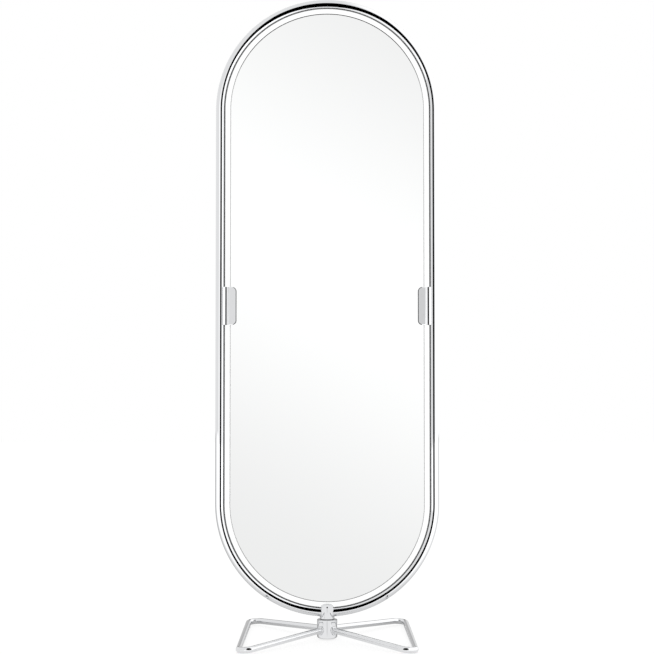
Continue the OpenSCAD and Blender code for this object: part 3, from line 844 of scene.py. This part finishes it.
class MIRROR_OT_clips(bpy.types.Operator):
    """Builds the two front clips and the two back clips."""

    bl_idname = "mirror.clips"
    bl_label = "Clips"

    def execute(self, context):
        plain = self.right_front_clip()
        holed = copy_piece(plain)
        self.dome_face(plain)
        self.add_level_ring(plain)
        self.dome_face(holed)
        self.cut_screw_holes(holed)
        for source, move, name in (
                (plain, Matrix.Identity(4), "right_front_clip"), (plain, ACROSS, "left_front_clip"),
                (holed, FRONT_TO_BACK, "right_back_clip"), (holed, ACROSS @ FRONT_TO_BACK, "left_back_clip")):
            clip = copy_piece(source, move)
            smooth(clip, 24)
            hand_over(clip, name + "_plate", MIRROR_BODY, "chrome", [name], "chrome_bright", "chrome_slot")
            self.paint_slot_shade(clip)
        for source in (plain, holed):
            bpy.data.objects.remove(source)
        return {"FINISHED"}

    def right_front_clip(self):
        """A plate with two rounded corners, a lip over the tube, and a groove with a narrow slot between."""
        size = sizes()
        web_y = CLIP_HIGH.y - size.groove_web
        far = PAST + CLIP_HIGH.z - CLIP_LOW.z
        span = (CLIP_LOW.z - far, CLIP_HIGH.z + far)
        plate = box_piece((CLIP_LOW.x, CLIP_HIGH.y - size.clip_thickness, CLIP_LOW.z), CLIP_HIGH)
        lip = box_piece((PANEL_R - size.lip_inset, CLIP_LOW.y, CLIP_LOW.z), CLIP_HIGH)
        edit_mesh()
        pick("verts", lambda v: near(v.co.y, CLIP_LOW.y) and near(v.co.x, CLIP_HIGH.x))
        bpy.ops.transform.translate(value=(0, size.lip_lean, 0))
        bevel_edges(edge_on(lambda p: p.y < CLIP_LOW.y + 2 * size.lip_lean and near(p.x, CLIP_HIGH.x)),
                    size.clip_edge_width / 2, 6)
        close_mesh()
        cut(plate, upright(size.groove_radius, *span, 192, PANEL_R - size.groove_inset,
                           web_y - size.groove_radius))
        join_to(plate, lip)
        cut(plate, upright(TUBE_R, *span, 192, HOOP_R),
            upright(size.slot_radius, *span, 48, *self.slot_middle()))
        select_only(plate)
        edit_mesh()
        bevel_edges(lambda e: edge_on(lambda p: near(p.x, CLIP_LOW.x))(e) and runs_along(e, 1),
                    size.clip_corner_radius, 14)
        close_mesh()
        return plate

    def slot_middle(self):
        """x and y of the middle of the right front clip's slot."""
        size = sizes()
        return PANEL_R - size.slot_inset, CLIP_HIGH.y - size.groove_web - size.slot_radius

    def paint_slot_shade(self, clip):
        """Gives the slot's wall the near-black material that paints shade into it."""
        slot_x, slot_y = self.slot_middle()
        for face in clip.data.polygons:
            off = math.hypot(abs(face.center.x) - slot_x, abs(face.center.y) + slot_y)
            if abs(face.normal.z) < 0.5 and near(off, sizes().slot_radius, 5e-5):
                face.material_index = 1

    def pick_face(self, clip):
        """Opens the clip's mesh and selects the flat face of its plate."""
        face_y = CLIP_HIGH.y - sizes().clip_thickness
        select_only(clip)
        edit_mesh()
        pick("faces", lambda f: near(f.calc_center_median().y, face_y) and f.normal.y < -0.99)

    def dome_face(self, clip):
        """Softens the outline of the plate's face in two steps."""
        size = sizes()
        drop = size.clip_edge_drop
        self.pick_face(clip)
        bpy.ops.transform.translate(value=(0, drop, 0))
        inset(0.4 * size.clip_edge_width, 0.6 * drop)
        inset(0.6 * size.clip_edge_width, 0.4 * drop)
        close_mesh()

    def add_level_ring(self, clip):
        """Adds a narrow ring level with the face, which keeps the face's shading flat."""
        self.pick_face(clip)
        inset(LEVEL_RING)
        close_mesh()

    def cut_screw_holes(self, clip):
        """Cuts the screw holes into a clip of triangles, because larger faces would leave gaps there."""
        edit_mesh()
        bpy.ops.mesh.select_all(action="SELECT")
        bpy.ops.mesh.quads_convert_to_tris()
        close_mesh()
        cut(clip, *[cylinder_piece(SCREW_HOLE_R, (x, 2 * CLIP_LOW.y, z), (x, 0, z), 48)
                    for x, z in screw_places()])


class MIRROR_OT_clip_screws(bpy.types.Operator):
    """Builds the four button-head screws of the back clips."""

    bl_idname = "mirror.clip_screws"
    bl_label = "Clip screws"

    def execute(self, context):
        top_y = SCREWS_HIGH.y
        seat_y = top_y - SCREW_HEAD_HEIGHT
        places = [(side * x, z) for side in (-1, 1) for x, z in screw_places()]
        first_x, first_z = places[0]
        screw = cylinder_piece(SCREW_HEAD_R, (first_x, seat_y, first_z), (first_x, top_y, first_z), 64)
        edit_mesh()
        bevel_edges(edge_on(lambda p: near(p.y, top_y)), SCREW_HEAD_ROUNDING, 8)
        pick("faces", round_face_at(seat_y, 1))
        inset(SCREW_HEAD_R - SCREW_R)
        extrude_by((0, -SCREW_LENGTH, 0))
        close_mesh()
        cut(screw, cylinder_piece(SCREW_SOCKET_R, (first_x, top_y - SCREW_SOCKET_DEPTH, first_z),
                                  (first_x, top_y + PAST, first_z), 6))
        soften_edges(screw, 0.0001)
        smooth(screw)
        copies = [copy_piece(screw, Matrix.Translation((x - first_x, 0, z - first_z)))
                  for x, z in places[1:]]
        screws = joined([screw, *copies])
        smooth(screws)
        hand_over(screws, "back_clip_screws", MIRROR_BODY, "steel", ["clip_screws"], "bright_steel")
        return {"FINISHED"}


class MIRROR_OT_post_head(bpy.types.Operator):
    """Builds the turned head with its saddle and slot, and its two grub screws."""

    bl_idname = "mirror.post_head"
    bl_label = "Post head"

    def execute(self, context):
        size = sizes()
        radius = HEAD_HIGH.x
        head = upright(radius, HEAD_LOW.z, HEAD_HIGH.z, 160)
        edit_mesh()
        bevel_edges(ring_edges_at(radius, HEAD_HIGH.z), size.head_rounding, 20)
        bevel_edges(ring_edges_at(radius, HEAD_LOW.z), HEAD_FOOT_BEVEL, 4)
        close_mesh()
        slot = box_piece((-2 * radius, -size.slot_half_width, size.slot_floor),
                         (2 * radius, size.slot_half_width, HEAD_HIGH.z + PAST))
        grub_z = (GRUBS_LOW.z + GRUBS_HIGH.z) / 2
        grub_hole = cylinder_piece(GRUB_R + FIT, (0, -2 * radius, grub_z), (0, 2 * radius, grub_z), 48)
        seat = upright(SPINDLE_HIGH.x + FIT, HEAD_LOW.z - PAST, SPINDLE_HIGH.z, 96)
        cut(head, slot, self.saddle(), grub_hole, seat)
        soften_edges(head, 0.0003)
        smooth(head)
        hand_over(head, "turned_head", MIRROR_BODY, "chrome", ["post_head"], "chrome_turned")
        self.grub_screws(grub_z)
        return {"FINISHED"}

    def saddle(self):
        """A short piece of solid bar on the hoop's middle line, through the head."""
        half_angle = 1.2 * math.asin(2 * HEAD_HIGH.x / HOOP_R)
        deselect_all()
        bpy.ops.mesh.primitive_circle_add(
            vertices=64, radius=TUBE_R + FIT, fill_type="NGON", location=(0, 0, LOW_ARC_Z - HOOP_R),
            rotation=(0, math.pi / 2, 0))
        bar = placed()
        to_arc = Matrix.Translation((0, 0, LOW_ARC_Z))
        bar.data.transform(to_arc @ Matrix.Rotation(-half_angle, 4, "Y") @ to_arc.inverted())
        edit_mesh()
        bpy.ops.mesh.select_all(action="SELECT")
        bpy.ops.mesh.spin(steps=24, angle=-2 * half_angle, center=(0, 0, LOW_ARC_Z), axis=(0, 1, 0))
        close_mesh()
        edit_mesh()
        pick("edges", lambda e: e.is_boundary)
        if any(edge.select for edge in bmesh.from_edit_mesh(bar.data).edges):
            bpy.ops.mesh.edge_face_add()
        close_mesh()
        merge_and_face_outwards(bar)
        return bar

    def grub_screws(self, grub_z):
        """The two grub screws, each with a hexagon socket."""
        inner = sizes().slot_half_width
        outer = GRUBS_HIGH.y
        screw = cylinder_piece(GRUB_R, (0, -outer, grub_z), (0, -inner, grub_z), 48)
        cut(screw, cylinder_piece(GRUB_SOCKET_R, (0, -outer - PAST, grub_z),
                                  (0, -(inner + outer) / 2, grub_z), 6))
        soften_edges(screw, 0.00015)
        screws = joined([screw, copy_piece(screw, FRONT_TO_BACK)])
        smooth(screws)
        hand_over(screws, "grub_screws", MIRROR_BODY, "black_steel", ["head_grub_screws"], "black_steel")


# Each foot is a loop that lies in its own plane: x goes from the end bar to the hub

def end_bar():
    """Radius of a rod, and distance from the axis and height of the end bar's middle line."""
    rod_r = sizes().rod_diameter / 2
    return rod_r, -ROD_LOW.x - rod_r, ROD_LOW.z + rod_r


def loop_frame(side):
    """The matrix that lays one loop's own plane in the frame."""
    _, bar_x, bar_z = end_bar()
    tilt = math.atan2(sizes().leg_aim_height - bar_z, bar_x)
    place = Matrix.Translation((-bar_x, 0, bar_z)) @ Matrix.Rotation(-tilt, 4, "Y")
    return ACROSS @ place if side > 0 else place


def loop_length():
    """Distance from the end bar to the point where the two legs of a loop meet."""
    _, bar_x, bar_z = end_bar()
    return math.hypot(bar_x, sizes().leg_aim_height - bar_z)


def leg_point(turn, distance):
    """The point on a leg's middle line at a distance from where the two legs of a loop meet."""
    angle = sizes().leg_angle
    along = Vector((-math.cos(angle), turn * math.sin(angle), 0))
    return Vector((loop_length(), 0, 0)) + along * distance


def socket_cutters(side):
    """The two cylinders that make one loop's sockets in the hub."""
    place = loop_frame(side)
    return [cylinder_piece(end_bar()[0] + FIT, place @ leg_point(turn, SOCKET_START),
                           place @ leg_point(turn, SOCKET_CUTTER_END), 96) for turn in (-1, 1)]


class MIRROR_OT_hub(bpy.types.Operator):
    """Builds the hub, its bottom cap and the thrust washer."""

    bl_idname = "mirror.hub"
    bl_label = "Hub"

    def execute(self, context):
        size = sizes()
        radius = HUB_HIGH.x
        shoulder_r = HEAD_HIGH.x
        top_z = HUB_HIGH.z - size.hub_shoulder
        hub = upright(radius, HUB_LOW.z, top_z, 192)
        edit_mesh()
        pick("faces", round_face_at(top_z))
        inset(radius - shoulder_r)
        extrude_by((0, 0, size.hub_shoulder))
        bevel_edges(ring_edges_at(shoulder_r, HUB_HIGH.z), size.hub_shoulder / 2, 4)
        bevel_edges(ring_edges_at(radius, top_z), size.hub_top_rounding, 10)
        bevel_edges(ring_edges_at(radius, HUB_LOW.z), size.hub_foot_rounding, 14)
        close_mesh()
        cut(hub,
            upright(CAP_HIGH.x + FIT, HUB_LOW.z - PAST, HUB_LOW.z + size.hub_hollow, 128),
            upright(UPPER_BUSH_HIGH.x, HUB_LOW.z, HUB_HIGH.z + PAST, 96),
            *socket_cutters(-1), *socket_cutters(1))
        soften_edges(hub, 0.0002)
        smooth(hub)
        hand_over(hub, "turned_hub", BASE_BODY, "chrome", ["hub"], "chrome_turned")
        self.cap()
        self.washer()
        return {"FINISHED"}

    def cap(self):
        """The cap that closes the hub's hollow, with a raised middle."""
        cap = upright(CAP_HIGH.x, CAP_LOW.z, CAP_HIGH.z, 96)
        edit_mesh()
        pick("faces", round_face_at(CAP_LOW.z))
        inset(CAP_RIM)
        inset(CAP_STEP, -CAP_STEP_DEPTH)
        close_mesh()
        soften_edges(cap, 0.0002)
        smooth(cap)
        hand_over(cap, "bottom_cap", BASE_BODY, "dark_nylon", ["hub_bottom_cap"], "black_nylon")

    def washer(self):
        """The thin washer between hub and head."""
        washer = upright(WASHER_HIGH.x, WASHER_LOW.z, WASHER_HIGH.z, 128)
        cut(washer, upright(SPINDLE_HIGH.x + WASHER_GAP, WASHER_LOW.z - PAST, WASHER_HIGH.z + PAST, 96))
        soften_edges(washer, 0.0002)
        smooth(washer)
        hand_over(washer, "hub_washer", BASE_BODY, "dark_nylon", ["thrust_washer"], "black_nylon")


class MIRROR_OT_base_rods(bpy.types.Operator):
    """Builds the two bent rods that the mirror stands on."""

    bl_idname = "mirror.base_rods"
    bl_label = "Base rods"

    def execute(self, context):
        left = self.bent_rod()
        right = copy_piece(left)
        for rod, side, name in ((left, -1, "left"), (right, 1, "right")):
            move_mesh(rod, loop_frame(side))
            smooth(rod)
            hand_over(rod, name + "_bent_rod", BASE_BODY, "chrome", [name + "_base_rod"], "chrome_bright")
        return {"FINISHED"}

    def bent_rod(self):
        """One loop in its own plane: the end bar along y, two bends, and two legs with a weld bead each."""
        size = sizes()
        rod_r = end_bar()[0]
        bend = math.pi / 2 + size.leg_angle
        tangent = size.rod_bend_radius * math.tan(bend / 2)
        half_bar = loop_length() * math.tan(size.leg_angle) - tangent
        leg = loop_length() / math.cos(size.leg_angle) - tangent - ROD_END
        deselect_all()
        bpy.ops.mesh.primitive_circle_add(vertices=64, radius=rod_r, rotation=(math.pi / 2, 0, 0))
        rod = placed()
        for side in (1, -1):
            edit_mesh()
            pick("verts", lambda v: near(v.co.y, 0))
            extrude_by((0, side * half_bar, 0))
            bpy.ops.mesh.spin(steps=36, angle=side * bend, axis=(0, 0, 1),
                              center=(size.rod_bend_radius, side * half_bar, 0))
            extrude_by(leg_point(side, 0) - leg_point(side, leg))
            bpy.ops.mesh.edge_face_add()
            close_mesh()
        merge_and_face_outwards(rod)
        for side in (1, -1):
            outward = leg_point(side, 1) - leg_point(side, 0)
            deselect_all()
            bpy.ops.mesh.primitive_torus_add(
                location=leg_point(side, HUB_HIGH.x), rotation=outward.to_track_quat("Z", "Y").to_euler(),
                major_radius=rod_r - size.weld_sink, minor_radius=size.weld_radius,
                major_segments=64, minor_segments=32)
            join_to(rod, placed())
        return rod


class MIRROR_OT_glides(bpy.types.Operator):
    """Builds the four clear glides under the end bars."""

    bl_idname = "mirror.glides"
    bl_label = "Glides"

    def execute(self, context):
        size = sizes()
        rod_r, bar_x, _ = end_bar()
        half_w = GLIDES_HIGH.x - bar_x
        far_y = GLIDES_HIGH.y
        near_y = far_y - size.glide_length
        rod_z = size.glide_thickness + rod_r
        glide = box_piece((bar_x - half_w, near_y, 0), GLIDES_HIGH)
        edit_mesh()
        bevel_edges(lambda e: runs_along(e, 2), GLIDE_CORNER_R, 8)
        close_mesh()
        cut(glide, cylinder_piece(rod_r, (bar_x, near_y - PAST, rod_z), (bar_x, far_y + PAST, rod_z), 128))
        soften_edges(glide, 0.0003)
        twins = [copy_piece(glide, move) for move in (ACROSS, FRONT_TO_BACK, ACROSS @ FRONT_TO_BACK)]
        glides = joined([glide, *twins])
        smooth(glides)
        hand_over(glides, "clear_glides", BASE_BODY, "clear_plastic", ["floor_glides"], "clear_plastic")
        return {"FINISHED"}


INNER_FINISHES = {
    "natural_nylon": ("upper_bush", "lower_bush", "head_slot_pads"),
    "bright_steel": ("spindle", "spindle_bolt", "keeper_washer", "hoop_dowel", "left_clip_block",
                     "right_clip_block"),
    "fibreboard": ("core_board",),
    "black_rubber": ("front_clip_pads", "back_clip_pads"),
}


class MIRROR_OT_inner_pieces(bpy.types.Operator):
    """Gives the inner pieces that stay as they are their finishes."""

    bl_idname = "mirror.inner_pieces"
    bl_label = "Inner pieces"

    def execute(self, context):
        for finish, nodes in INNER_FINISHES.items():
            for node in nodes:
                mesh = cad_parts[node].data
                mesh.materials.clear()
                mesh.materials.append(material_named(finish))
        return {"FINISHED"}


# Studio

CAMERA_PLACE = (0, -3.5, 0.615)
CAMERA_PITCH = math.radians(1.71)
CAMERA_LENS = 71.79
CAMERA_SHIFT_X = -0.00026
CAMERA_SHIFT_Y = 0.0651
FLAG_DISTANCE = 0.54
FLAG_LEFT = -0.23
FLAG_RIGHT = 0.27
FLAG_LOW = 0.02
FLAG_HIGH = 1.96
FLAG_CORNER = 0.14
FLOOR_HALF = 20.0
FLOOR_COLOUR = (0.25, 0.25, 0.25)
FLOOR_GLOW = 0.80


def bare_tree(owner):
    """The emptied node tree of a material or world, and the kinds of light path it can ask for."""
    owner.use_nodes = True
    tree = owner.node_tree
    tree.nodes.clear()
    return tree, add_node(tree, "ShaderNodeLightPath").outputs


def show_unless(tree, hidden, shader):
    """Gives the material its shader, and makes it clear to the rays where hidden is 1."""
    clear = add_node(tree, "ShaderNodeBsdfTransparent")
    mix = add_node(tree, "ShaderNodeMixShader", hidden, shader.outputs[0], clear.outputs[0])
    add_node(tree, "ShaderNodeOutputMaterial", Surface=mix.outputs[0])


class MIRROR_OT_stage(bpy.types.Operator):
    """Builds the studio's light, the floor, the flag and the camera."""

    bl_idname = "mirror.stage"
    bl_label = "Stage"

    def execute(self, context):
        self.world()
        self.floor()
        self.flag()
        self.camera()
        context.scene.view_settings.view_transform = "Standard"
        return {"FINISHED"}

    def world(self):
        """A white studio: plain white behind the object, soft greys in what it reflects.

        A singular ray comes from a finish without any roughness: the glass, the head and the hub.
        """
        world = bpy.data.worlds.new("studio")
        bpy.context.scene.world = world
        tree, path = bare_tree(world)
        x, y, z = coordinates(tree, add_node(tree, "ShaderNodeTexCoord").outputs["Generated"])
        face = self.face_light(tree, x, y, z)
        tube = self.tube_light(tree, x, y, z)
        glossy = mixed_value(tree, path["Is Singular Ray"], tube, face)
        seen = mixed_value(tree, path["Is Glossy Ray"], 1.0, glossy)
        seen = mixed_value(tree, path["Is Camera Ray"], seen, 1.0)
        light = add_node(tree, "ShaderNodeBackground", Color=(1, 1, 1), Strength=seen)
        add_node(tree, "ShaderNodeOutputWorld", Surface=light.outputs[0])

    def face_light(self, tree, x, y, z):
        """What glass, head and hub show: a bright band that slants down to the right, a dim room behind."""
        slant = math_node(tree, "ADD", z, math_node(tree, "MULTIPLY", x, 0.5))
        off_band = math_node(tree, "ABSOLUTE", math_node(tree, "SUBTRACT", slant, 0.109))
        band = fade(tree, off_band, 0, 0.26, 1.10, 0.914)
        wide = fade(tree, math_node(tree, "ABSOLUTE", x), 0.09, 0.15)
        low = fade(tree, z, -0.24, -0.16, 1, 0)
        high = fade(tree, z, 0.30, 0.38)
        outside = chain(tree, "MAXIMUM", wide, low, high)
        front = mixed_value(tree, outside, band, 1.12)
        behind = fade(tree, y, -0.1, 0.35)
        room = fade(tree, y, 0.15, 0.75, 1.0, 0.42)
        return mixed_value(tree, behind, front, room)

    def tube_light(self, tree, x, y, z):
        """What the other chrome shows: bright sides, and behind it a grey wall and a dark patch."""
        off_middle = math_node(tree, "ABSOLUTE", x)
        off_level = math_node(tree, "ABSOLUTE", math_node(tree, "SUBTRACT", z, 0.078))
        in_front = fade(tree, y, -0.5, -0.7)
        strip = chain(tree, "MULTIPLY", fade(tree, x, -0.46, -0.38), fade(tree, x, -0.14, -0.02, 1, 0),
                      in_front, fade(tree, z, 0.22, 0.34, 1, 0))
        sides = mixed_value(tree, strip, fade(tree, x, 0.08, 0.3, 1.06, 1.5), 1.5)
        middle = chain(tree, "MULTIPLY", fade(tree, off_middle, 0.10, 0.14, 1, 0),
                       fade(tree, off_level, 0.03, 0.05, 1, 0), in_front)
        sides = mixed_value(tree, middle, sides, map_range(tree, x, -0.08, 0.08, 1.03, 0.87))
        wall = fade(tree, y, 0.85, 0.96)
        wall_light = map_range(tree, x, -0.12, -0.02, 0.58, 0.82)
        softer = mixed_value(tree, wall, sides, wall_light)
        patch = chain(tree, "MULTIPLY", fade(tree, y, 0.1, 0.65), fade(tree, off_middle, 0.2, 0.3, 1, 0),
                      fade(tree, z, 0.14, 0.22), fade(tree, z, 0.46, 0.66, 1, 0))
        return mixed_value(tree, patch, softer, 0.22)

    def floor(self):
        """A pale floor that keeps the object's shadow and shows darker in the chrome."""
        deselect_all()
        bpy.ops.mesh.primitive_plane_add(size=2 * FLOOR_HALF)
        floor = bpy.context.object
        floor.name = "floor"
        material = bpy.data.materials.new("pale_floor")
        tree, path = bare_tree(material)
        x, y, _ = coordinates(tree, add_node(tree, "ShaderNodeTexCoord").outputs["Object"])
        nearby = fade(tree, y, -0.25, 0.25, 0.84, 0.42)
        front = fade(tree, y, -0.27, -0.42, 0, 0.35)
        ahead = map_range(tree, y, -0.6, -5.0, 0, 0.09)
        right = fade(tree, x, 0.2, 0.8, 0, 0.3)
        shown = chain(tree, "ADD", nearby, front, ahead, right)
        from_piece = math_node(tree, "MAXIMUM", path["Is Glossy Ray"], path["Is Transmission Ray"])
        strength = mixed_value(tree, from_piece, 0.0, shown)
        strength = mixed_value(tree, path["Is Camera Ray"], strength, FLOOR_GLOW)
        matt = add_node(tree, "ShaderNodeBsdfDiffuse", Color=FLOOR_COLOUR)
        glow = add_node(tree, "ShaderNodeEmission", Strength=strength)
        both = add_node(tree, "ShaderNodeAddShader", matt.outputs[0], glow.outputs[0])
        mirrored = math_node(tree, "MULTIPLY", path["Is Singular Ray"], path["Is Glossy Ray"])
        show_unless(tree, mirrored, both)
        floor.data.materials.append(material)

    def flag(self):
        """A black studio flag in front, which only the chrome reflects, as crisp dark lines and spots."""
        middle = ((FLAG_LEFT + FLAG_RIGHT) / 2, -FLAG_DISTANCE, (FLAG_LOW + FLAG_HIGH) / 2)
        deselect_all()
        bpy.ops.mesh.primitive_plane_add(size=1, location=middle, rotation=(math.pi / 2, 0, 0))
        flag = placed((FLAG_RIGHT - FLAG_LEFT, FLAG_HIGH - FLAG_LOW, 1))
        edit_mesh()
        pick("verts", lambda v: near(v.co.z, FLAG_LOW))
        bpy.ops.mesh.bevel(offset=FLAG_CORNER, segments=1, affect="VERTICES")
        close_mesh()
        flag.name = "black_flag"
        for kind in ("camera", "diffuse", "transmission", "shadow", "volume_scatter"):
            setattr(flag, "visible_" + kind, False)
        material = bpy.data.materials.new("black_flag")
        tree, path = bare_tree(material)
        show_unless(tree, path["Is Singular Ray"], add_node(tree, "ShaderNodeEmission", Strength=0))
        flag.data.materials.append(material)

    def camera(self):
        data = bpy.data.cameras.new("camera")
        camera = bpy.data.objects.new("camera", data)
        bpy.context.scene.collection.objects.link(camera)
        bpy.context.scene.camera = camera
        camera.location = CAMERA_PLACE
        camera.rotation_euler = (math.pi / 2 + CAMERA_PITCH, 0, 0)
        data.lens = CAMERA_LENS
        data.sensor_width = 36.0
        data.shift_x = CAMERA_SHIFT_X
        data.shift_y = CAMERA_SHIFT_Y
        data.dof.use_dof = False


PIECE_OPERATORS = (
    MIRROR_OT_hoop, MIRROR_OT_glass, MIRROR_OT_gasket, MIRROR_OT_clips, MIRROR_OT_clip_screws,
    MIRROR_OT_post_head, MIRROR_OT_hub, MIRROR_OT_base_rods, MIRROR_OT_glides, MIRROR_OT_inner_pieces,
    MIRROR_OT_stage)


class MIRROR_PT_pieces(bpy.types.Panel):
    """Lists the pieces and their sizes and colours."""

    bl_idname = "MIRROR_PT_pieces"
    bl_label = "Full-length Mirror"
    bl_space_type = "VIEW_3D"
    bl_region_type = "UI"
    bl_category = "Mirror"

    def draw(self, context):
        for operator in PIECE_OPERATORS:
            self.layout.operator(operator.bl_idname)
        for group in (context.scene.mirror_sizes, context.scene.mirror_colours):
            for name in group.__annotations__:
                self.layout.prop(group, name)


CLASSES = (MirrorSizes, MirrorColours, *PIECE_OPERATORS, MIRROR_PT_pieces)


def register():
    for one in CLASSES:
        bpy.utils.register_class(one)
    bpy.types.Scene.mirror_sizes = bpy.props.PointerProperty(type=MirrorSizes)
    bpy.types.Scene.mirror_colours = bpy.props.PointerProperty(type=MirrorColours)


def unregister():
    del bpy.types.Scene.mirror_sizes
    del bpy.types.Scene.mirror_colours
    for one in reversed(CLASSES):
        bpy.utils.unregister_class(one)


def main():
    register()
    bpy.ops.mirror.hoop()
    bpy.ops.mirror.glass()
    bpy.ops.mirror.gasket()
    bpy.ops.mirror.clips()
    bpy.ops.mirror.clip_screws()
    bpy.ops.mirror.post_head()
    bpy.ops.mirror.hub()
    bpy.ops.mirror.base_rods()
    bpy.ops.mirror.glides()
    bpy.ops.mirror.inner_pieces()
    bpy.ops.mirror.stage()


if __name__ == "__main__":
    main()
